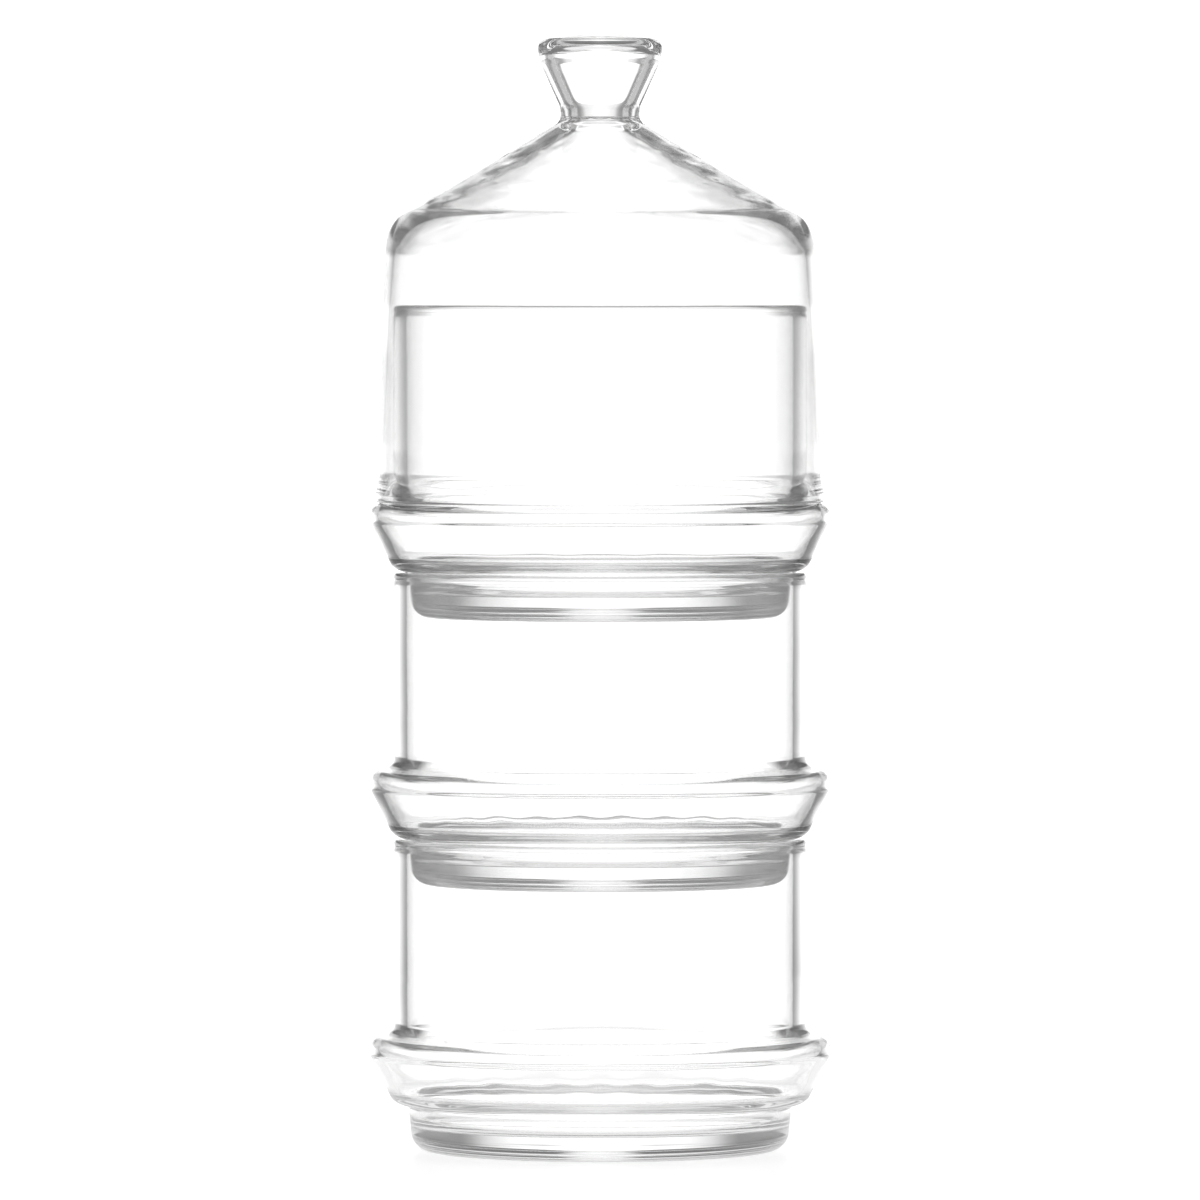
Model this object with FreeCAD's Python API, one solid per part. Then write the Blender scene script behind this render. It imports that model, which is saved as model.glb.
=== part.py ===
"""Stack of three glass jars under a bell lid, modelled with FreeCAD.

The three jars are alike.  The narrow foot of a jar drops into the mouth of the jar below, and
its flange then rests on that jar's rim.  The lid is one piece with its knob, which is hollow too.
It drops over the wall of the top jar, and its rim rests on the sloping ledge of that jar's
flange.  Every piece is a solid of revolution about Z.

Lengths are in millimetres and angles in degrees.  +Z is up, and the origin is the centre of
the standing ring of the lowest jar.
"""
import FreeCAD, Part
import math
import os

# --- the stack -------------------------------------------------------------------------------
JAR_NAMES = ("bottom_jar", "middle_jar", "top_jar")
TIER_PITCH = 64.0          # height that each further jar adds
LID_RIM_HEIGHT = 27.75     # lid's rim above the base of the top jar

# --- jar, outside ----------------------------------------------------------------------------
JAR_HEIGHT = 75.0
RIM_OUTER_R = 49.65
RIM_WAIST = (49.48, 73.1)  # shallow groove below the rim's bead
BEAD_LOW_Z = 73.6
WALL_HIGH = (49.63, 72.2)
WALL_LOW = (49.8, 41.0)
WALL_ROOT_R = 49.45        # outside of the wall where it meets the ledge
LEDGE_ROOT_Z = 28.98       # height at which the wall meets the ledge
LEDGE_FALL = 22.0          # slope of the ledge, falling outwards
FLANGE_MIDDLE_R = 53.2     # outside of the conical flange, half way up it
FLANGE_MIDDLE_Z = 18.4
FLANGE_RISE = 63.4         # slope of the flange, which widens upwards
SEAT_Z = 10.9              # where the underside of the flange meets the foot
SEAT_RISE = 10.0           # slope of that underside
FOOT_ROOT_R = 46.1
FOOT_BASE_R = 45.05
PUNT_HEIGHT = 0.9          # hollow in the base, inside the standing ring
PUNT_R = 36.5
RING_INNER_R = 39.0

# --- jar, inside -----------------------------------------------------------------------------
MOUTH_R = 46.55
BORE_ROOT_R = 46.3
LEDGE_GLASS = 2.1
FLANGE_GLASS = 2.4
SEAT_GLASS = 3.0
FOOT_GLASS = 2.7
FLOOR_Z = 6.0

# --- jar, corner radii -----------------------------------------------------------------------
PUNT_ROUND = 2.0
RING_ROUND = 1.5
FOOT_ROUND = 4.6
FOOT_ROOT_ROUND = 0.8
FLANGE_LOW_ROUND = 4.2
FLANGE_TOP_ROUND = 3.6
LEDGE_ROUND = 2.0
WALL_LOW_ROUND = 25.0
WALL_HIGH_ROUND = 3.0
WAIST_ROUND = 0.4
BEAD_LOW_ROUND = 0.3
RIM_OUTER_ROUND = 1.1
RIM_INNER_ROUND = 1.3
BORE_ROUND = 4.5
HOLLOW_TOP_ROUND = 1.6
HOLLOW_LOW_ROUND = 2.2
FOOT_BORE_ROUND = 3.4
FLOOR_ROUND = 3.0

# --- lid, outside: heights are above the lid's own rim -----------------------------------------
BEAD_R = 54.15             # thickened rim of the lid
FLARE_LOW = (54.15, 1.6)
FLARE_TOP = (53.1, 6.5)
SKIRT_MIDDLE = (52.55, 38.0)
SHOULDER = (51.3, 67.3)    # where the skirt and the cone would meet without their rounding
CONE_TOP = (14.3, 88.6)
NECK_R = 9.6
KNOB_SIDE_LOW = (14.25, 105.0)
KNOB_CONE_RISE = 65.9      # slope of the knob's lower cone, which widens upwards
KNOB_SIDE_RISE = 77.0      # slope of its upper band
KNOB_TOP_Z = 112.1
KNOB_TOP_FLAT_R = 7.0
KNOB_TOP_FALL = 9.0

# --- lid, inside -----------------------------------------------------------------------------
LID_MOUTH_R = 52.4
SKIRT_BORE_LOW = (51.9, 14.0)
SKIRT_BORE_HIGH = (50.3, 47.0)
INNER_SHOULDER = (49.0, 65.4)
CONE_BORE_TOP = (12.3, 85.6)
NECK_BORE_R = 5.75
KNOB_CONE_GLASS = 3.1
KNOB_SIDE_GLASS = 3.0
KNOB_TOP_GLASS = 3.1

# --- lid, corner radii -----------------------------------------------------------------------
KNOB_DOME_ROUND = 20.0
KNOB_TOP_ROUND = 2.6
KNOB_SIDE_ROUND = 3.0
NECK_TOP_ROUND = 5.0
NECK_LOW_ROUND = 2.2
SHOULDER_ROUND = 11.0
SKIRT_ROUND = 300.0
FLARE_TOP_ROUND = 9.0
FLARE_LOW_ROUND = 2.0
BEAD_OUTER_ROUND = 0.7
BEAD_INNER_ROUND = 0.7
SKIRT_BORE_ROUND = 60.0
INNER_SHOULDER_ROUND = 10.0
NECK_BORE_LOW_ROUND = 4.0
NECK_BORE_TOP_ROUND = 8.0
KNOB_BORE_SIDE_ROUND = 1.5
KNOB_BORE_TOP_ROUND = 1.2


def run_between(first, last):
    """Straight run of an outline through two (r, z) points, as a point and a direction."""
    length = math.dist(first, last)
    return first, ((last[0] - first[0]) / length, (last[1] - first[1]) / length)


def run_at(point, slope):
    """Straight run of an outline through one (r, z) point, at a slope above +R."""
    angle = math.radians(slope)
    return point, (math.cos(angle), math.sin(angle))


def moved_left(run, distance):
    """The parallel run a distance to the left of the direction of a run."""
    (r, z), (along_r, along_z) = run
    return (r - distance * along_z, z + distance * along_r), (along_r, along_z)


def meeting_point(first, second):
    """Point where two straight runs cross."""
    (r1, z1), (u1, v1) = first
    (r2, z2), (u2, v2) = second
    travel = ((r2 - r1) * v2 - (z2 - z1) * u2) / (u1 * v2 - v1 * u2)
    return r1 + travel * u1, z1 + travel * v1


def point_3d(r, z):
    """Point of the XZ plane at radius r and height z."""
    return FreeCAD.Vector(r, 0.0, z)


def corner_arc(before, corner, after, radius):
    """Start, middle and end of the arc that rounds a corner, tangent to both its sides."""
    back = (before - corner).normalize()
    ahead = (after - corner).normalize()
    half_angle = back.getAngle(ahead) / 2.0
    trim = radius / math.tan(half_angle)
    inset = radius / math.sin(half_angle) - radius
    middle = corner + (back + ahead).normalize() * inset
    return corner + back * trim, middle, corner + ahead * trim


def outline_edges(points, radii):
    """Straight edges and arcs along points, the inner ones rounded to the given radii."""
    edges = []
    here = points[0]
    for before, corner, after, radius in zip(points, points[1:], points[2:], radii):
        start, middle, end = corner_arc(before, corner, after, radius)
        edges.append(Part.LineSegment(here, start).toShape())
        edges.append(Part.Arc(start, middle, end).toShape())
        here = end
    edges.append(Part.LineSegment(here, points[-1]).toShape())
    return edges


def turned_solid(runs, radii):
    """Solid of revolution of the outline that follows runs, which begins and ends on the axis."""
    axis = run_at((0.0, 0.0), 90.0)
    corners = [meeting_point(first, second) for first, second in zip(runs, runs[1:])]
    ends = meeting_point(axis, runs[0]), meeting_point(axis, runs[-1])
    points = [point_3d(*corner) for corner in (ends[0], *corners, ends[1])]
    edges = outline_edges(points, radii)
    edges.append(Part.LineSegment(points[-1], points[0]).toShape())
    face = Part.Face(Part.Wire(edges))
    return face.revolve(FreeCAD.Vector(0, 0, 0), FreeCAD.Vector(0, 0, 1), 360.0)


def make_jar():
    """One jar with its standing ring at height 0: narrow foot, hollow flange, straight wall."""
    foot = run_between((FOOT_BASE_R, 0.0), (FOOT_ROOT_R, SEAT_Z))
    seat = run_at((FOOT_ROOT_R, SEAT_Z), SEAT_RISE)
    flange = run_at((FLANGE_MIDDLE_R, FLANGE_MIDDLE_Z), FLANGE_RISE)
    ledge = run_at((WALL_ROOT_R, LEDGE_ROOT_Z), 180.0 - LEDGE_FALL)
    outside = [
        (run_at((0.0, PUNT_HEIGHT), 0.0), PUNT_ROUND),
        (run_between((PUNT_R, PUNT_HEIGHT), (RING_INNER_R, 0.0)), RING_ROUND),
        (run_at((0.0, 0.0), 0.0), FOOT_ROUND),
        (foot, FOOT_ROOT_ROUND),
        (seat, FLANGE_LOW_ROUND),
        (flange, FLANGE_TOP_ROUND),
        (ledge, LEDGE_ROUND),
        (run_between((WALL_ROOT_R, LEDGE_ROOT_Z), WALL_LOW), WALL_LOW_ROUND),
        (run_between(WALL_LOW, WALL_HIGH), WALL_HIGH_ROUND),
        (run_between(WALL_HIGH, RIM_WAIST), WAIST_ROUND),
        (run_between(RIM_WAIST, (RIM_OUTER_R, BEAD_LOW_Z)), BEAD_LOW_ROUND),
        (run_at((RIM_OUTER_R, 0.0), 90.0), RIM_OUTER_ROUND),
        (run_at((0.0, JAR_HEIGHT), 0.0), RIM_INNER_ROUND),
    ]
    inside = [
        (run_between((MOUTH_R, JAR_HEIGHT), (BORE_ROOT_R, LEDGE_ROOT_Z)), BORE_ROUND),
        (moved_left(ledge, LEDGE_GLASS), HOLLOW_TOP_ROUND),
        (moved_left(flange, FLANGE_GLASS), HOLLOW_LOW_ROUND),
        (moved_left(seat, SEAT_GLASS), FOOT_BORE_ROUND),
        (moved_left(foot, FOOT_GLASS), FLOOR_ROUND),
        (run_at((0.0, FLOOR_Z), 0.0), None),
    ]
    runs, radii = zip(*outside, *inside)
    return turned_solid(runs, radii[:-1])


def make_lid():
    """The bell lid with its rim at height 0: hollow knob, cone, skirt and beaded rim."""
    cone = run_between(CONE_TOP, SHOULDER)
    knob_cone = run_at(KNOB_SIDE_LOW, KNOB_CONE_RISE)
    knob_side = run_at(KNOB_SIDE_LOW, KNOB_SIDE_RISE)
    outside = [
        (run_at((0.0, KNOB_TOP_Z), 0.0), KNOB_DOME_ROUND),
        (run_at((KNOB_TOP_FLAT_R, KNOB_TOP_Z), -KNOB_TOP_FALL), KNOB_TOP_ROUND),
        (knob_side, KNOB_SIDE_ROUND),
        (knob_cone, NECK_TOP_ROUND),
        (run_at((NECK_R, 0.0), 90.0), NECK_LOW_ROUND),
        (cone, SHOULDER_ROUND),
        (run_between(SHOULDER, SKIRT_MIDDLE), SKIRT_ROUND),
        (run_between(SKIRT_MIDDLE, FLARE_TOP), FLARE_TOP_ROUND),
        (run_between(FLARE_TOP, FLARE_LOW), FLARE_LOW_ROUND),
        (run_at((BEAD_R, 0.0), 90.0), BEAD_OUTER_ROUND),
        (run_at((0.0, 0.0), 0.0), BEAD_INNER_ROUND),
    ]
    inside = [
        (run_between((LID_MOUTH_R, 0.0), SKIRT_BORE_LOW), SKIRT_BORE_ROUND),
        (run_between(SKIRT_BORE_LOW, SKIRT_BORE_HIGH), SKIRT_BORE_ROUND),
        (run_between(SKIRT_BORE_HIGH, INNER_SHOULDER), INNER_SHOULDER_ROUND),
        (run_between(INNER_SHOULDER, CONE_BORE_TOP), NECK_BORE_LOW_ROUND),
        (run_at((NECK_BORE_R, 0.0), 90.0), NECK_BORE_TOP_ROUND),
        (moved_left(knob_cone, KNOB_CONE_GLASS), KNOB_BORE_SIDE_ROUND),
        (moved_left(knob_side, KNOB_SIDE_GLASS), KNOB_BORE_TOP_ROUND),
        (run_at((0.0, KNOB_TOP_Z - KNOB_TOP_GLASS), 0.0), None),
    ]
    runs, radii = zip(*outside, *inside)
    return turned_solid(runs, radii[:-1])


def raised(shape, height):
    """A copy of a shape, moved up by a height."""
    return shape.translated(FreeCAD.Vector(0.0, 0.0, height))


def make_pieces():
    """Every piece of the stack in its place, by node name."""
    jar = make_jar()
    pieces = {name: raised(jar, tier * TIER_PITCH) for tier, name in enumerate(JAR_NAMES)}
    top_tier = len(JAR_NAMES) - 1
    pieces["lid"] = raised(make_lid(), top_tier * TIER_PITCH + LID_RIM_HEIGHT)
    return pieces


def main():
    """Write one STEP file for each piece."""
    os.makedirs("parts", exist_ok=True)
    for name, shape in make_pieces().items():
        shape.exportStep(f"parts/{name}.step")
        print(f"{name}: {shape.Volume / 1000.0:.1f} cm3, valid {shape.isValid()}")


main()
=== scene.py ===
"""Looks of a stack of glass jars under a bell lid.

Each piece is one turned shape of clear pressed glass.  A piece is worked out here as a half
section of straight runs joined by arcs, carried round the axis on a grid, with the slight
ripples that a mould and a plunger leave in hot glass.  Lengths are in metres and angles in
degrees.  +Z is up, and the stack stands on the floor at height 0.
"""
import logging
import math
from dataclasses import dataclass
from enum import Enum

import bpy
import numpy as np
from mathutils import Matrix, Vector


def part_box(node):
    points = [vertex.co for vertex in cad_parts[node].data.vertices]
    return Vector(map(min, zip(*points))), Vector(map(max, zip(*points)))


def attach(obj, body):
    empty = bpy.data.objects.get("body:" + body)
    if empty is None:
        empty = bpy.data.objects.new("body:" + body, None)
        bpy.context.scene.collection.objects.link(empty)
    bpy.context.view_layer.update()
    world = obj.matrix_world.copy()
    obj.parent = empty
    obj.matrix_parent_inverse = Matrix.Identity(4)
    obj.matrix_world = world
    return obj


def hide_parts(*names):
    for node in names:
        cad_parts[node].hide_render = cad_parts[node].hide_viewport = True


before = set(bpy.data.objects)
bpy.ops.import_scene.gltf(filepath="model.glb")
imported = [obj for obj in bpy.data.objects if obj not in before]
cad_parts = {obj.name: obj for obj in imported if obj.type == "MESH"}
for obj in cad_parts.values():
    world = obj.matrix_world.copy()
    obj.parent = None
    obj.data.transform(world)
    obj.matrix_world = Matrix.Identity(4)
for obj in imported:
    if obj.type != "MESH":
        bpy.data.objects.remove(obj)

log = logging.getLogger("jar_stack")
JAR_SEEDS = {"bottom_jar": 0, "middle_jar": 10, "top_jar": 20}


# --- half sections -----------------------------------------------------------------------------


@dataclass(frozen=True)
class Run:
    """Straight run of a half section: a point (r, z) on it and its unit direction."""

    point: tuple[float, float]
    along: tuple[float, float]

    @classmethod
    def between(cls, first: tuple[float, float], last: tuple[float, float]) -> "Run":
        """The run from one (r, z) point to another."""
        length = math.dist(first, last)
        return cls(first, ((last[0] - first[0]) / length, (last[1] - first[1]) / length))

    @classmethod
    def at(cls, point: tuple[float, float], slope: float) -> "Run":
        """The run through a point at a slope above +R, in degrees."""
        angle = math.radians(slope)
        return cls(point, (math.cos(angle), math.sin(angle)))

    def moved_left(self, distance: float) -> "Run":
        """The parallel run, a distance to the left of this one's direction."""
        (r, z), (along_r, along_z) = self.point, self.along
        return Run((r - distance * along_z, z + distance * along_r), self.along)

    def meets(self, other: "Run") -> np.ndarray:
        """Point (r, z) where this run crosses another.

        It is this run's point plus t times its direction, where t is the cross product of the
        gap between the two points with the other direction, over that of the two directions.

        Args:
            other: a run that isn't parallel to this one.

        Returns:
            Array of shape (2,).
        """
        (r1, z1), (u1, v1) = self.point, self.along
        (r2, z2), (u2, v2) = other.point, other.along
        t = ((r2 - r1) * v2 - (z2 - z1) * u2) / (u1 * v2 - v1 * u2)
        return np.array([r1 + t * u1, z1 + t * v1])


AXIS = Run.at((0.0, 0.0), 90.0)


@dataclass(frozen=True)
class Bend:
    """A run and the radius of the corner where it meets the next one."""

    run: Run
    radius: float = 0.0


@dataclass(frozen=True)
class HalfSection:
    """Outline of a turned piece, from the axis right round the glass and back to the axis.

    An arc has a point at least every arc_step degrees, and a straight at least every
    longest_step.
    """

    bends: tuple[Bend, ...]
    arc_step: float = 4.7
    longest_step: float = 0.0016

    def sample(self) -> np.ndarray:
        """Points (r, z) along the outline.

        Each corner becomes an arc tangent to both its sides.  Its centre lies on the bisector,
        radius / sin(half the corner's angle) away from the corner.

        Returns:
            Array of shape (n, 2) that starts and ends on the axis.
        """
        runs = [bend.run for bend in self.bends]
        corners = [AXIS.meets(runs[0])]
        corners += [first.meets(second) for first, second in zip(runs, runs[1:])]
        corners.append(AXIS.meets(runs[-1]))
        pieces = [corners[0][None, :]]
        for before, corner, after, bend in zip(corners, corners[1:], corners[2:], self.bends):
            arc = self._arc(before, corner, after, bend.radius)
            pieces.append(self._straight(pieces[-1][-1], arc[0]))
            pieces.append(arc)
        pieces.append(self._straight(pieces[-1][-1], corners[-1]))
        pieces.append(corners[-1][None, :])
        return np.vstack(pieces)

    def _straight(self, start: np.ndarray, end: np.ndarray) -> np.ndarray:
        """Points strictly between two ends, evenly spaced.

        Args:
            start: first end (r, z).
            end: last end (r, z).

        Returns:
            Array of shape (n, 2), where n is 0 if the ends are near each other.
        """
        count = int(np.ceil(np.linalg.norm(end - start) / self.longest_step))
        share = np.linspace(0.0, 1.0, count + 1)[1:-1, None]
        return start + (end - start) * share

    def _arc(self, before: np.ndarray, corner: np.ndarray, after: np.ndarray,
             radius: float) -> np.ndarray:
        """Points on the arc that rounds a corner.

        The arc starts radius / tan(half the corner's angle) back from the corner, and turns
        through 180 degrees less the corner's angle.

        Args:
            before: the corner before it.
            corner: the corner (r, z).
            after: the corner after it.
            radius: radius of the arc.

        Returns:
            Array of shape (n, 2), both ends of the arc included.
        """
        back = (before - corner) / np.linalg.norm(before - corner)
        ahead = (after - corner) / np.linalg.norm(after - corner)
        half = 0.5 * math.acos(float(np.clip(back @ ahead, -1.0, 1.0)))
        bisector = (back + ahead) / np.linalg.norm(back + ahead)
        centre = corner + bisector * radius / math.sin(half)
        start = corner + back * radius / math.tan(half) - centre
        turn = math.pi - 2.0 * half
        side = math.copysign(1.0, ahead[0] * back[1] - ahead[1] * back[0])
        count = max(3, int(math.ceil(math.degrees(turn) / self.arc_step)) + 1)
        angle = side * np.linspace(0.0, turn, count)
        turned = np.column_stack([start[0] * np.cos(angle) - start[1] * np.sin(angle),
                                  start[0] * np.sin(angle) + start[1] * np.cos(angle)])
        return centre + turned


# --- turned meshes -----------------------------------------------------------------------------


@dataclass(frozen=True)
class Ripple:
    """Slight waves in a pressed surface, as a sum of cosines along the section and round it.

    They are at full depth between two levels above the piece's base, and fade out at both.
    """

    seed: int
    depth: float
    most_lobes: int
    levels: tuple[float, float]
    fade: float = 0.003
    waves: int = 12
    shortest: float = 0.0035
    longest: float = 0.012

    def height(self, along: np.ndarray, angle: np.ndarray) -> np.ndarray:
        """Height of the waves on a grid.

        It is depth / sqrt(waves) times the sum of cos(lobes * angle) * cos(2 pi * along / length +
        phase), with lobes, length and phase drawn once for each wave.

        Args:
            along: distances along the section, shape (n,).
            angle: angles round the axis, shape (m,).

        Returns:
            Array of shape (n, m).
        """
        rng = np.random.default_rng(self.seed)
        lobes = rng.integers(0, self.most_lobes + 1, self.waves)
        length = rng.uniform(self.shortest, self.longest, self.waves)
        phase = rng.uniform(0.0, 2.0 * np.pi, self.waves)
        section = np.cos(2.0 * np.pi * along[:, None] / length + phase)
        around = np.cos(lobes[:, None] * angle)
        return self.depth / math.sqrt(self.waves) * (section @ around)

    def share(self, level: np.ndarray) -> np.ndarray:
        """Share of the ripple at a level above the base.

        It is t^2 (3 - 2 t), where t is the distance inside the two levels over the fade, kept
        between 0 and 1.

        Args:
            level: heights above the piece's base, shape (n,).

        Returns:
            Array of shape (n,).
        """
        low, high = self.levels
        t = np.clip(np.minimum(level - low, high - level) / self.fade, 0.0, 1.0)
        return t * t * (3.0 - 2.0 * t)


class Mouth(Enum):
    """Which way a hollow piece opens."""

    UP = "up"
    DOWN = "down"


@dataclass(frozen=True)
class Turning:
    """A half section carried round the axis, with the glass to the left of its direction."""

    section: np.ndarray
    base_z: float
    mouth: Mouth
    ripple: Ripple
    segments: int = 264

    def _normals(self) -> np.ndarray:
        """Unit normals of the section, to the right of its direction, which is out of the glass.

        Returns:
            Array of shape (section points, 2).
        """
        tangent = np.gradient(self.section, axis=0)
        tangent /= np.linalg.norm(tangent, axis=1, keepdims=True)
        return np.column_stack([tangent[:, 1], -tangent[:, 0]])

    def grid(self) -> tuple[np.ndarray, np.ndarray, np.ndarray]:
        """Coordinates of the grid that the section sweeps.

        A grid point is (r sin a, -r cos a, z), where (r, z) is the section's point moved along
        its normal by the height of the ripple, and a runs once round from the front.

        Returns:
            x, y and z, each of shape (section points, segments).
        """
        angle = np.linspace(0.0, 2.0 * np.pi, self.segments, endpoint=False)
        step = np.linalg.norm(np.diff(self.section, axis=0), axis=1)
        along = np.concatenate([[0.0], np.cumsum(step)])
        share = self._inside() * self.ripple.share(self.section[:, 1])
        lift = share[:, None] * self.ripple.height(along, angle)
        normal = self._normals()
        radius = self.section[:, 0, None] + lift * normal[:, 0, None]
        height = self.section[:, 1, None] + lift * normal[:, 1, None] + self.base_z
        return radius * np.sin(angle), -radius * np.cos(angle), height * np.ones_like(lift)

    def _inside(self) -> np.ndarray:
        """True where the section is inside the hollow, seen from its highest or lowest point.

        Returns:
            Array of shape (section points,).
        """
        order = np.arange(len(self.section))
        height = self.section[:, 1]
        if self.mouth is Mouth.UP:
            return order > np.argmax(height)
        return order < np.argmin(height)

    def mesh(self, name: str) -> bpy.types.Mesh:
        """Closed mesh of the piece, with one vertex at each pole and smooth faces.

        Args:
            name: name of the mesh.

        Returns:
            The mesh, in its place.
        """
        x, y, z = self.grid()
        rings = np.stack([x[1:-1], y[1:-1], z[1:-1]], axis=-1).reshape(-1, 3)
        poles = np.array([[0.0, 0.0, z[0, 0]], [0.0, 0.0, z[-1, 0]]])
        vertices = np.vstack([rings, poles])
        rows, cols = x.shape[0] - 2, self.segments
        index = np.arange(rows * cols).reshape(rows, cols)
        onward = np.roll(index, -1, axis=1)
        quads = np.stack([index[:-1], onward[:-1], onward[1:], index[1:]], axis=-1).reshape(-1, 4)
        first, last = rows * cols, rows * cols + 1
        start_fan = np.column_stack([np.full(cols, first), onward[0], index[0]])
        end_fan = np.column_stack([np.full(cols, last), index[-1], onward[-1]])
        return closed_mesh(name, vertices, quads, np.vstack([start_fan, end_fan]))


def closed_mesh(name: str, vertices: np.ndarray, quads: np.ndarray,
                triangles: np.ndarray) -> bpy.types.Mesh:
    """Mesh from arrays of vertices, four-sided faces and three-sided faces.

    Args:
        name: name of the mesh.
        vertices: shape (n, 3).
        quads: vertex indices, shape (q, 4).
        triangles: vertex indices, shape (t, 3).

    Returns:
        The mesh, with smooth shading.
    """
    mesh = bpy.data.meshes.new(name)
    corners = np.concatenate([quads.ravel(), triangles.ravel()]).astype(np.int32)
    starts = np.concatenate([np.arange(len(quads)) * 4,
                             len(quads) * 4 + np.arange(len(triangles)) * 3]).astype(np.int32)
    mesh.vertices.add(len(vertices))
    mesh.vertices.foreach_set("co", vertices.astype(np.float32).ravel())
    mesh.loops.add(len(corners))
    mesh.loops.foreach_set("vertex_index", corners)
    mesh.polygons.add(len(starts))
    mesh.polygons.foreach_set("loop_start", starts)
    mesh.polygons.foreach_set("use_smooth", np.ones(len(starts), bool))
    mesh.update(calc_edges=True)
    mesh.validate()
    return mesh


# --- node trees --------------------------------------------------------------------------------


@dataclass(frozen=True)
class LightRing:
    """Brightness of the light round the horizon, at angles away from straight behind the stack."""

    stops: tuple[tuple[float, float], ...]


@dataclass
class NodeMaths:
    """Short names for the number nodes of one node tree."""

    tree: bpy.types.NodeTree

    def __post_init__(self) -> None:
        """Keep the tree's nodes and links at hand."""
        self.nodes = self.tree.nodes
        self.links = self.tree.links

    def noise(self, place: bpy.types.NodeSocket, scale: float) -> bpy.types.NodeSocket:
        """Smooth noise from 0 to 1.

        Args:
            place: coordinates in metres.
            scale: about how many bumps there are to the metre.

        Returns:
            The socket that carries it.
        """
        node = self.nodes.new("ShaderNodeTexNoise")
        node.inputs["Scale"].default_value = scale
        node.inputs["Detail"].default_value = 0.0
        self.put(node.inputs["Vector"], place)
        return node.outputs[0]

    def put(self, socket: bpy.types.NodeSocket, value: bpy.types.NodeSocket | float) -> None:
        """Link a value to a socket, or set it there if it is a plain number.

        Args:
            socket: the input that takes the value.
            value: another node's output, or a number.
        """
        if isinstance(value, bpy.types.NodeSocket):
            self.links.new(value, socket)
        else:
            socket.default_value = value

    def maths(self, operation: str, first: bpy.types.NodeSocket | float,
              second: bpy.types.NodeSocket | float = 0.0) -> bpy.types.NodeSocket:
        """Result of one operation on two numbers.

        Args:
            operation: its name, as the Math node has it.
            first: first number.
            second: second number, which some operations leave out.

        Returns:
            The socket that carries it.
        """
        node = self.nodes.new("ShaderNodeMath")
        node.operation = operation
        self.put(node.inputs[0], first)
        self.put(node.inputs[1], second)
        return node.outputs[0]

    def step(self, angle: bpy.types.NodeSocket,
             edge: tuple[float, float]) -> bpy.types.NodeSocket:
        """Smooth rise from 0 to 1 while an angle passes an edge.

        Args:
            angle: the angle, in radians.
            edge: where the rise starts and ends, in degrees.

        Returns:
            The socket that carries it.
        """
        node = self.nodes.new("ShaderNodeMapRange")
        node.interpolation_type = "SMOOTHSTEP"
        self.put(node.inputs["Value"], angle)
        self.put(node.inputs["From Min"], math.radians(edge[0]))
        self.put(node.inputs["From Max"], math.radians(edge[1]))
        return node.outputs["Result"]

    def blend(self, first: bpy.types.NodeSocket | float, second: bpy.types.NodeSocket | float,
              share: bpy.types.NodeSocket) -> bpy.types.NodeSocket:
        """First times (1 - share) plus second times share.

        Args:
            first: value at share 0.
            second: value at share 1.
            share: how far to go from the first to the second.

        Returns:
            The socket that carries it.
        """
        node = self.nodes.new("ShaderNodeMix")
        self.put(node.inputs["Factor"], share)
        self.put(node.inputs["A"], first)
        self.put(node.inputs["B"], second)
        return node.outputs["Result"]

    def ring(self, angle: bpy.types.NodeSocket, ring: LightRing,
             brightest: float) -> bpy.types.NodeSocket:
        """Brightness of a ring, in straight lines between its stops.

        Args:
            angle: angle away from straight behind the stack, in radians.
            ring: the stops.
            brightest: a brightness that no stop passes.

        Returns:
            The socket that carries it.
        """
        node = self.nodes.new("ShaderNodeValToRGB")
        self.put(node.inputs[0], self.maths("DIVIDE", angle, math.pi))
        stops = node.color_ramp.elements
        while len(stops) < len(ring.stops):
            stops.new(1.0)
        for stop, (degrees, level) in zip(stops, ring.stops):
            stop.position = degrees / 180.0
            stop.color = (*(3 * (level / brightest,)), 1.0)
        return self.maths("MULTIPLY", node.outputs["Color"], brightest)


# --- finishes ----------------------------------------------------------------------------------


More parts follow.
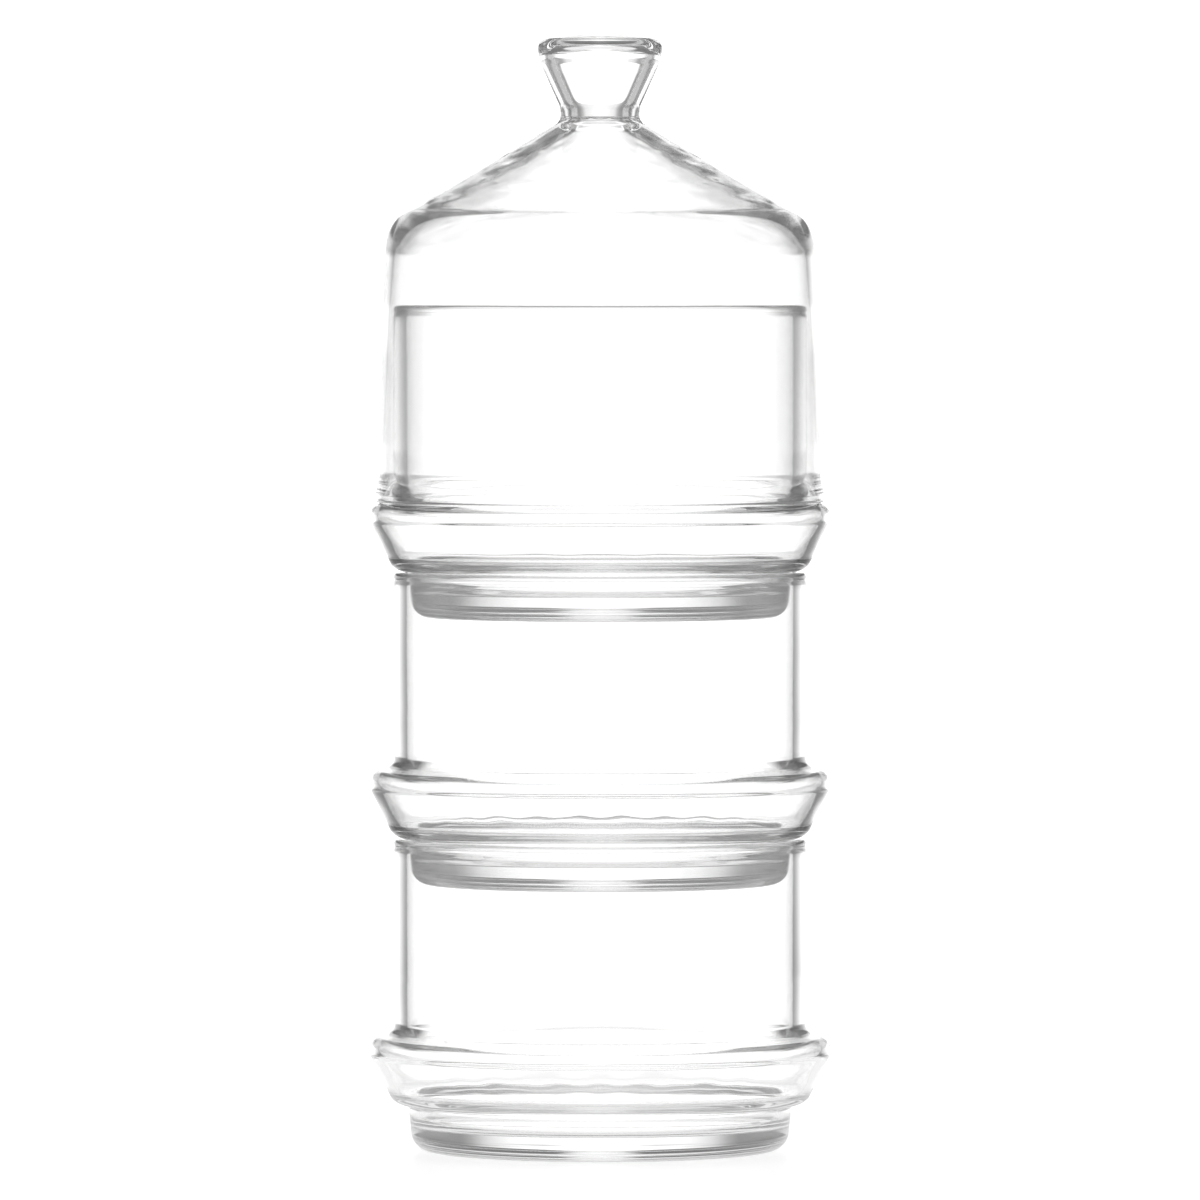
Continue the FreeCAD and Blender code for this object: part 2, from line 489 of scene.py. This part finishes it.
@dataclass(frozen=True)
class ClearGlass:
    """Clear soda-lime glass: fire-polished, faintly wavy, scuffed where it stands."""

    name: str = "clear_glass"
    tint: tuple[float, float, float] = (1.0, 1.0, 1.0)
    refraction: float = 1.52
    body_tint: tuple[float, float, float] = (0.5, 0.5, 0.5)
    body_density: float = 5.0
    wave_scale: float = 60.0
    wave_depth: float = 0.00003
    scuff_scale: float = 1400.0
    scuff_height: float = 0.0006
    scuff_roughness: float = 0.3

    def material(self, base_z: float) -> bpy.types.Material:
        """The node material: a refracting surface over a faintly tinted body.

        Args:
            base_z: height of the surface that the piece stands on.

        Returns:
            A new material for that piece.
        """
        material = bpy.data.materials.new(self.name)
        material.use_nodes = True
        tree = NodeMaths(material.node_tree)
        tree.nodes.clear()
        output = tree.nodes.new("ShaderNodeOutputMaterial")
        glass = tree.nodes.new("ShaderNodeBsdfPrincipled")
        glass.inputs["Base Color"].default_value = (*self.tint, 1.0)
        glass.inputs["IOR"].default_value = self.refraction
        glass.inputs["Transmission Weight"].default_value = 1.0
        place = tree.nodes.new("ShaderNodeTexCoord").outputs["Object"]
        tree.put(glass.inputs["Roughness"], self._roughness(tree, place, base_z))
        tree.put(glass.inputs["Normal"], self._waves(tree, place))
        body = tree.nodes.new("ShaderNodeVolumeAbsorption")
        body.inputs["Color"].default_value = (*self.body_tint, 1.0)
        body.inputs["Density"].default_value = self.body_density
        tree.put(output.inputs["Surface"], glass.outputs["BSDF"])
        tree.put(output.inputs["Volume"], body.outputs["Volume"])
        return material

    def _roughness(self, tree: NodeMaths, place: bpy.types.NodeSocket,
                   base_z: float) -> bpy.types.NodeSocket:
        """Roughness: fine scuffs at the standing surface, none from scuff_height above it.

        It is scuff_roughness times noise times 1 - height / scuff_height, never below 0.

        Args:
            tree: the material's nodes.
            place: Object coordinates.
            base_z: height of the standing surface.

        Returns:
            The socket that carries it.
        """
        parts = tree.nodes.new("ShaderNodeSeparateXYZ")
        tree.put(parts.inputs[0], place)
        above = tree.maths("DIVIDE", tree.maths("SUBTRACT", parts.outputs["Z"], base_z),
                           self.scuff_height)
        share = tree.maths("SUBTRACT", 1.0, tree.maths("MINIMUM", above, 1.0))
        scuffs = tree.maths("MULTIPLY", tree.noise(place, self.scuff_scale),
                            self.scuff_roughness)
        return tree.maths("MULTIPLY", scuffs, share)

    def _waves(self, tree: NodeMaths, place: bpy.types.NodeSocket) -> bpy.types.NodeSocket:
        """Surface normal tilted by the slope of slow noise, wave_depth high.

        Args:
            tree: the material's nodes.
            place: Object coordinates.

        Returns:
            The socket that carries it.
        """
        bump = tree.nodes.new("ShaderNodeBump")
        bump.inputs["Strength"].default_value = 1.0
        bump.inputs["Distance"].default_value = self.wave_depth
        tree.put(bump.inputs["Height"], tree.noise(place, self.wave_scale))
        return bump.outputs["Normal"]


# --- the pieces --------------------------------------------------------------------------------


@dataclass
class Jar:
    """One stacking jar: narrow foot, conical hollow flange with a sloping ledge, straight wall.

    Points are (r, z), slopes are above +R, and a size ending in _round is the radius of the
    corner where two runs meet.
    """

    node: str
    seed: int
    height: float = 0.0750
    rim_outer_r: float = 0.04965
    rim_waist: tuple[float, float] = (0.04948, 0.0731)
    bead_low_z: float = 0.0736
    wall_high: tuple[float, float] = (0.04963, 0.0722)
    wall_low: tuple[float, float] = (0.0498, 0.0410)
    wall_root_r: float = 0.04945
    ledge_root_z: float = 0.02898
    ledge_fall: float = 22.0
    flange_middle: tuple[float, float] = (0.0532, 0.0184)
    flange_rise: float = 63.4
    seat_z: float = 0.0109
    seat_rise: float = 10.0
    foot_root_r: float = 0.0461
    foot_base_r: float = 0.04505
    punt_height: float = 0.0009
    punt_r: float = 0.0365
    ring_inner_r: float = 0.0390
    mouth_r: float = 0.04655
    bore_root_r: float = 0.0463
    ledge_glass: float = 0.0021
    flange_glass: float = 0.0024
    seat_glass: float = 0.0030
    foot_glass: float = 0.0027
    floor_z: float = 0.0060
    punt_round: float = 0.0020
    ring_round: float = 0.0015
    foot_round: float = 0.0046
    seat_round: float = 0.0008
    flange_low_round: float = 0.0042
    flange_top_round: float = 0.0036
    ledge_round: float = 0.0020
    wall_low_round: float = 0.0250
    wall_high_round: float = 0.0030
    waist_round: float = 0.0004
    bead_low_round: float = 0.0003
    rim_outer_round: float = 0.0011
    rim_inner_round: float = 0.0013
    bore_root_round: float = 0.0045
    hollow_top_round: float = 0.0016
    hollow_low_round: float = 0.0022
    hollow_seat_round: float = 0.0034
    floor_round: float = 0.0030
    ripple_depth: float = 0.000015
    ripple_lobes: int = 40
    ripple_levels: tuple[float, float] = (0.0155, 0.0265)

    def section(self) -> np.ndarray:
        """Half section of the jar, its standing ring at height 0.

        Returns:
            Array of shape (n, 2), underside first and the floor inside last.
        """
        foot = Run.between((self.foot_base_r, 0.0), (self.foot_root_r, self.seat_z))
        seat = Run.at((self.foot_root_r, self.seat_z), self.seat_rise)
        flange = Run.at(self.flange_middle, self.flange_rise)
        ledge = Run.at((self.wall_root_r, self.ledge_root_z), 180.0 - self.ledge_fall)
        wall_root = (self.wall_root_r, self.ledge_root_z)
        bead_low = (self.rim_outer_r, self.bead_low_z)
        bore = Run.between((self.mouth_r, self.height), (self.bore_root_r, self.ledge_root_z))
        punt_side = Run.between((self.punt_r, self.punt_height), (self.ring_inner_r, 0.0))
        return HalfSection((
            Bend(Run.at((0.0, self.punt_height), 0.0), self.punt_round),
            Bend(punt_side, self.ring_round),
            Bend(Run.at((0.0, 0.0), 0.0), self.foot_round),
            Bend(foot, self.seat_round),
            Bend(seat, self.flange_low_round),
            Bend(flange, self.flange_top_round),
            Bend(ledge, self.ledge_round),
            Bend(Run.between(wall_root, self.wall_low), self.wall_low_round),
            Bend(Run.between(self.wall_low, self.wall_high), self.wall_high_round),
            Bend(Run.between(self.wall_high, self.rim_waist), self.waist_round),
            Bend(Run.between(self.rim_waist, bead_low), self.bead_low_round),
            Bend(Run.at((self.rim_outer_r, 0.0), 90.0), self.rim_outer_round),
            Bend(Run.at((0.0, self.height), 0.0), self.rim_inner_round),
            Bend(bore, self.bore_root_round),
            Bend(ledge.moved_left(self.ledge_glass), self.hollow_top_round),
            Bend(flange.moved_left(self.flange_glass), self.hollow_low_round),
            Bend(seat.moved_left(self.seat_glass), self.hollow_seat_round),
            Bend(foot.moved_left(self.foot_glass), self.floor_round),
            Bend(Run.at((0.0, self.floor_z), 0.0)),
        )).sample()

    def build(self, glass: ClearGlass) -> bpy.types.Object:
        """The jar in its place.

        Args:
            glass: the finish it is dressed in.

        Returns:
            The new object.
        """
        base_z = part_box(self.node)[0].z
        ripple = Ripple(self.seed, self.ripple_depth, self.ripple_lobes, self.ripple_levels)
        turning = Turning(self.section(), base_z, Mouth.UP, ripple)
        mesh = turning.mesh(f"{self.node}_glass")
        return dressed_piece(self.node, mesh, glass.material(base_z))


@dataclass
class BellLid:
    """The lid, one piece of glass: hollow knob, cone, skirt and beaded rim.

    Points are (r, z), slopes are above +R, and a size ending in _round is the radius of the
    corner where two runs meet.
    """

    node: str = "lid"
    seed: int = 40
    bead_r: float = 0.05415
    flare_low: tuple[float, float] = (0.05415, 0.0016)
    flare_top: tuple[float, float] = (0.0531, 0.0065)
    skirt_middle: tuple[float, float] = (0.05255, 0.0380)
    shoulder: tuple[float, float] = (0.0513, 0.0673)
    cone_top: tuple[float, float] = (0.0143, 0.0886)
    neck_r: float = 0.0096
    knob_side_low: tuple[float, float] = (0.01425, 0.1050)
    knob_cone_rise: float = 65.9
    knob_side_rise: float = 77.0
    knob_top_z: float = 0.1121
    knob_top_flat_r: float = 0.0070
    knob_top_fall: float = 9.0
    mouth_r: float = 0.0524
    skirt_bore_low: tuple[float, float] = (0.0519, 0.0140)
    skirt_bore_high: tuple[float, float] = (0.0503, 0.0470)
    inner_shoulder: tuple[float, float] = (0.0490, 0.0654)
    cone_bore_top: tuple[float, float] = (0.0123, 0.0856)
    neck_bore_r: float = 0.00575
    knob_cone_glass: float = 0.0031
    knob_side_glass: float = 0.0030
    knob_top_glass: float = 0.0031
    knob_bore_top_round: float = 0.0012
    knob_bore_side_round: float = 0.0015
    neck_bore_top_round: float = 0.0080
    neck_bore_low_round: float = 0.0040
    inner_shoulder_round: float = 0.0100
    skirt_bore_high_round: float = 0.0600
    skirt_bore_low_round: float = 0.0600
    mouth_round: float = 0.0007
    rim_round: float = 0.0007
    bead_round: float = 0.0020
    flare_round: float = 0.0090
    skirt_round: float = 0.3000
    shoulder_round: float = 0.0110
    neck_low_round: float = 0.0022
    neck_top_round: float = 0.0050
    knob_side_round: float = 0.0030
    knob_top_round: float = 0.0026
    knob_dome_round: float = 0.0200
    ripple_depth: float = 0.000025
    ripple_lobes: int = 28
    ripple_levels: tuple[float, float] = (0.0665, 0.0870)

    def section(self) -> np.ndarray:
        """Half section of the lid, its rim at height 0.

        Returns:
            Array of shape (n, 2), the inside first and the top of the knob last.
        """
        knob_cone = Run.at(self.knob_side_low, self.knob_cone_rise)
        knob_side = Run.at(self.knob_side_low, self.knob_side_rise)
        knob_ceiling = Run.at((0.0, self.knob_top_z - self.knob_top_glass), 0.0)
        return HalfSection((
            Bend(knob_ceiling, self.knob_bore_top_round),
            Bend(knob_side.moved_left(self.knob_side_glass), self.knob_bore_side_round),
            Bend(knob_cone.moved_left(self.knob_cone_glass), self.neck_bore_top_round),
            Bend(Run.at((self.neck_bore_r, 0.0), 90.0), self.neck_bore_low_round),
            Bend(Run.between(self.cone_bore_top, self.inner_shoulder), self.inner_shoulder_round),
            Bend(Run.between(self.inner_shoulder, self.skirt_bore_high),
                 self.skirt_bore_high_round),
            Bend(Run.between(self.skirt_bore_high, self.skirt_bore_low), self.skirt_bore_low_round),
            Bend(Run.between(self.skirt_bore_low, (self.mouth_r, 0.0)), self.mouth_round),
            Bend(Run.at((0.0, 0.0), 0.0), self.rim_round),
            Bend(Run.at((self.bead_r, 0.0), 90.0), self.bead_round),
            Bend(Run.between(self.flare_low, self.flare_top), self.flare_round),
            Bend(Run.between(self.flare_top, self.skirt_middle), self.skirt_round),
            Bend(Run.between(self.skirt_middle, self.shoulder), self.shoulder_round),
            Bend(Run.between(self.shoulder, self.cone_top), self.neck_low_round),
            Bend(Run.at((self.neck_r, 0.0), 90.0), self.neck_top_round),
            Bend(knob_cone, self.knob_side_round),
            Bend(knob_side, self.knob_top_round),
            Bend(Run.at((self.knob_top_flat_r, self.knob_top_z), -self.knob_top_fall),
                 self.knob_dome_round),
            Bend(Run.at((0.0, self.knob_top_z), 0.0)),
        )).sample()

    def build(self, glass: ClearGlass) -> bpy.types.Object:
        """The lid in its place.

        Args:
            glass: the finish it is dressed in.

        Returns:
            The new object.
        """
        base_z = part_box(self.node)[0].z
        ripple = Ripple(self.seed, self.ripple_depth, self.ripple_lobes, self.ripple_levels)
        turning = Turning(self.section(), base_z, Mouth.DOWN, ripple)
        mesh = turning.mesh(f"{self.node}_glass")
        return dressed_piece(self.node, mesh, glass.material(base_z))


def dressed_piece(node: str, mesh: bpy.types.Mesh,
                  material: bpy.types.Material) -> bpy.types.Object:
    """Object of a mesh that stands for a CAD node and rides on that node's body.

    Args:
        node: name of the CAD node, which is also its body's name.
        mesh: the finished mesh, in its place.
        material: the glass.

    Returns:
        The new object, linked to the scene.
    """
    piece = bpy.data.objects.new(f"{node}_glass", mesh)
    bpy.context.scene.collection.objects.link(piece)
    piece.data.materials.append(material)
    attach(piece, node)
    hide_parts(node)
    log.info("%s: %d vertices, %d faces", piece.name, len(mesh.vertices), len(mesh.polygons))
    return piece


# --- the studio --------------------------------------------------------------------------------


@dataclass
class Studio:
    """Pale floor, soft surrounding light and the camera.

    The light is five rings, one above another, under a broad overhead light.  Each _rise is the
    pair of angles above the horizon between which one ring gives way to the next.
    """

    camera_distance: float = 2.84
    camera_height: float = 0.2076
    aim_height: float = 0.1322
    lens: float = 355.0
    camera_reach: float = 30.0
    floor_radius: float = 0.14
    floor_sides: int = 96
    floor_white: float = 0.25
    floor_glow: float = 0.75
    floor_roughness: float = 0.4
    light_bounces: int = 40
    brightest: float = 2.5
    below_ring: LightRing = LightRing(((0.0, 0.3), (10.0, 0.2), (34.0, 0.2), (42.0, 0.8),
                                       (180.0, 0.8)))
    dip_ring: LightRing = LightRing(((0.0, 1.5), (11.0, 1.15), (16.0, 0.6), (22.0, 0.33),
                                     (34.0, 0.25), (42.0, 0.7), (180.0, 0.8)))
    low_ring: LightRing = LightRing(((0.0, 2.1), (13.0, 1.9), (20.0, 1.6), (26.0, 1.2),
                                     (32.0, 0.6), (36.0, 0.4), (60.0, 0.4), (80.0, 1.05),
                                     (180.0, 1.2)))
    gap_ring: LightRing = LightRing(((0.0, 1.9), (7.0, 1.5), (12.0, 0.28), (35.0, 0.2),
                                     (55.0, 0.08), (75.0, 0.08), (120.0, 0.3), (180.0, 0.45)))
    upper_ring: LightRing = LightRing(((0.0, 1.6), (5.0, 1.4), (9.5, 0.22), (60.0, 0.22),
                                       (180.0, 0.5)))
    overhead: float = 1.15
    dip_rise: tuple[float, float] = (-29.0, -23.0)
    low_rise: tuple[float, float] = (-7.5, -5.0)
    gap_rise: tuple[float, float] = (4.0, 7.5)
    upper_rise: tuple[float, float] = (13.0, 17.0)
    overhead_rise: tuple[float, float] = (38.0, 46.0)

    def build_camera(self) -> None:
        """A long lens in front of the stack, tilted slightly down."""
        data = bpy.data.cameras.new("camera")
        data.lens = self.lens
        data.clip_end = self.camera_reach
        camera = bpy.data.objects.new("camera", data)
        camera.location = (0.0, -self.camera_distance, self.camera_height)
        tilt = math.atan2(self.camera_height - self.aim_height, self.camera_distance)
        camera.rotation_euler = (math.pi / 2.0 - tilt, 0.0, 0.0)
        bpy.context.scene.collection.objects.link(camera)
        bpy.context.scene.camera = camera

    def build_floor(self) -> None:
        """A round white floor, its rim points evenly spaced on a circle."""
        angle = np.linspace(0.0, 2.0 * np.pi, self.floor_sides, endpoint=False)
        rim = np.column_stack([self.floor_radius * np.cos(angle),
                               self.floor_radius * np.sin(angle), np.zeros_like(angle)])
        mesh = bpy.data.meshes.new("floor")
        mesh.from_pydata(rim, [], [np.arange(len(rim)).tolist()])
        floor = bpy.data.objects.new("floor", mesh)
        bpy.context.scene.collection.objects.link(floor)
        material = bpy.data.materials.new("floor_white")
        material.use_nodes = True
        white = material.node_tree.nodes["Principled BSDF"]
        white.inputs["Base Color"].default_value = (*(3 * (self.floor_white,)), 1.0)
        white.inputs["Roughness"].default_value = self.floor_roughness
        white.inputs["Emission Color"].default_value = (1.0, 1.0, 1.0, 1.0)
        white.inputs["Emission Strength"].default_value = self.floor_glow
        mesh.materials.append(material)

    def build_light(self) -> None:
        """Soft light from all round: a bright sheet behind, darker sides, a broad box overhead.

        The angle round is the arctangent of |x| over y, and the angle up is the arcsine of z.
        """
        world = bpy.data.worlds.new("studio_light")
        bpy.context.scene.world = world
        world.use_nodes = True
        tree = NodeMaths(world.node_tree)
        tree.nodes.clear()
        coordinates = tree.nodes.new("ShaderNodeTexCoord")
        direction = tree.nodes.new("ShaderNodeSeparateXYZ")
        tree.links.new(coordinates.outputs["Generated"], direction.inputs[0])
        x, y, z = direction.outputs
        away = tree.maths("ARCTAN2", tree.maths("ABSOLUTE", x), y)
        rise = tree.maths("ARCSINE", z)
        low = tree.ring(away, self.low_ring, self.brightest)
        gap = tree.ring(away, self.gap_ring, self.brightest)
        upper = tree.ring(away, self.upper_ring, self.brightest)
        below = tree.ring(away, self.below_ring, self.brightest)
        dip = tree.ring(away, self.dip_ring, self.brightest)
        level = tree.blend(below, dip, tree.step(rise, self.dip_rise))
        level = tree.blend(level, low, tree.step(rise, self.low_rise))
        level = tree.blend(level, gap, tree.step(rise, self.gap_rise))
        level = tree.blend(level, upper, tree.step(rise, self.upper_rise))
        level = tree.blend(level, self.overhead, tree.step(rise, self.overhead_rise))
        background = tree.nodes.new("ShaderNodeBackground")
        tree.links.new(level, background.inputs["Strength"])
        output = tree.nodes.new("ShaderNodeOutputWorld")
        tree.links.new(background.outputs[0], output.inputs["Surface"])

    def build(self) -> None:
        """Everything round the stack, and a plain rendering of its colours."""
        self.build_camera()
        self.build_floor()
        self.build_light()
        scene = bpy.context.scene
        scene.view_settings.view_transform = "Standard"
        scene.cycles.max_bounces = self.light_bounces
        scene.cycles.transmission_bounces = self.light_bounces
        scene.cycles.glossy_bounces = self.light_bounces


def main() -> None:
    """Build the studio, then each piece from the bottom up."""
    logging.basicConfig(level=logging.INFO, format="%(message)s")
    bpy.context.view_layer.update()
    Studio().build()
    glass = ClearGlass()
    for node, seed in JAR_SEEDS.items():
        Jar(node, seed).build(glass)
    BellLid().build(glass)


if __name__ == "__main__":
    main()
